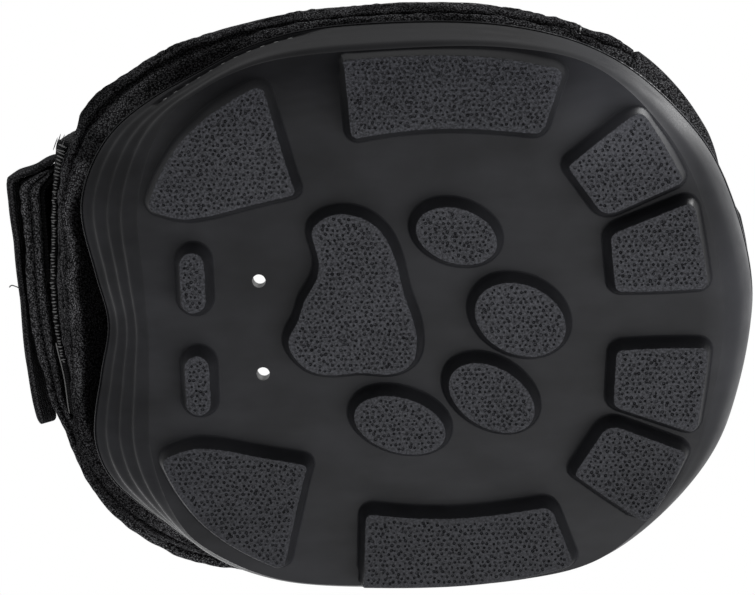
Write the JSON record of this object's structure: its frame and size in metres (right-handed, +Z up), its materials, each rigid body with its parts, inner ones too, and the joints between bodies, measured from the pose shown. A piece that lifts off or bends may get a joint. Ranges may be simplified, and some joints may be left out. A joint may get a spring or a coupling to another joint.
{
  "type": "horse hoof boot",
  "caption": "Slip-on hoof boot with a studded rubber sole, padded mesh upper, front hook-and-loop flaps and heel strap.",
  "frame": {"origin": "on the ground plane, on the flat face of the large central tread pad", "axes": "+X towards the toe, +Y towards the boot's left side, +Z up out of the hoof opening"},
  "size_m": [0.207, 0.1607, 0.1011],
  "materials": {
    "rubber": "moulded, satin black, pebbled lug faces",
    "mesh": "padded black spacer mesh",
    "woven": "heavy black woven cloth",
    "lining": "soft black knitted lining",
    "hook_tape": "black hook tape",
    "loop_tape": "black loop pile tape",
    "webbing": "black woven webbing",
    "leather": "plain brown leather"
  },
  "bodies": {
    "root": {"outsole": "rubber", "toe_vamp": "woven", "toe_badge": "leather", "upper_left": "mesh", "upper_right": "mesh", "heel_panel": "mesh", "lining_left": "lining", "lining_right": "lining", "heel_pad": "lining", "collar_left": "mesh", "collar_right": "mesh", "collar_rear": "mesh", "heel_loop_tape": "loop_tape", "strap_anchor": "mesh", "tongue_foot": "mesh"},
    "tongue_body": {"tongue": "mesh"},
    "under_flap_body": {"under_flap": "woven", "flap_loop_tape": "loop_tape"},
    "over_flap_body": {"over_flap": "woven", "flap_hook_tape": "hook_tape", "flap_pull_tab": "webbing"},
    "heel_strap_body": {"heel_strap": "mesh", "strap_hook_tape": "hook_tape", "pull_loop": "webbing"}
  },
  "joints": [
    {"name": "over_flap_hinge", "type": "hinge", "parent": "root", "child": "over_flap_body", "pos_m": [0.06539, -0.062, 0.06878], "axis": [0.1961, -0.2938, -0.9355], "range_deg": [0, 120]},
    {"name": "under_flap_hinge", "type": "hinge", "parent": "root", "child": "under_flap_body", "pos_m": [0.06539, 0.062, 0.06878], "axis": [-0.1961, -0.2938, 0.9355], "range_deg": [0, 72]},
    {"name": "tongue_tilt", "type": "hinge", "parent": "root", "child": "tongue_body", "pos_m": [0.08971, 0, 0.05986], "axis": [0, 1, 0], "range_deg": [0, 24]},
    {"name": "heel_strap_hinge", "type": "hinge", "parent": "root", "child": "heel_strap_body", "pos_m": [-0.09078, 0.04912, 0.05764], "axis": [-0.0576, 0.0264, -0.998], "range_deg": [0, 100]}
  ],
  "couplings": [
    {"joint": "under_flap_hinge", "follows": "over_flap_hinge", "ratio": 0.6},
    {"joint": "tongue_tilt", "follows": "over_flap_hinge", "ratio": 0.2}
  ]
}
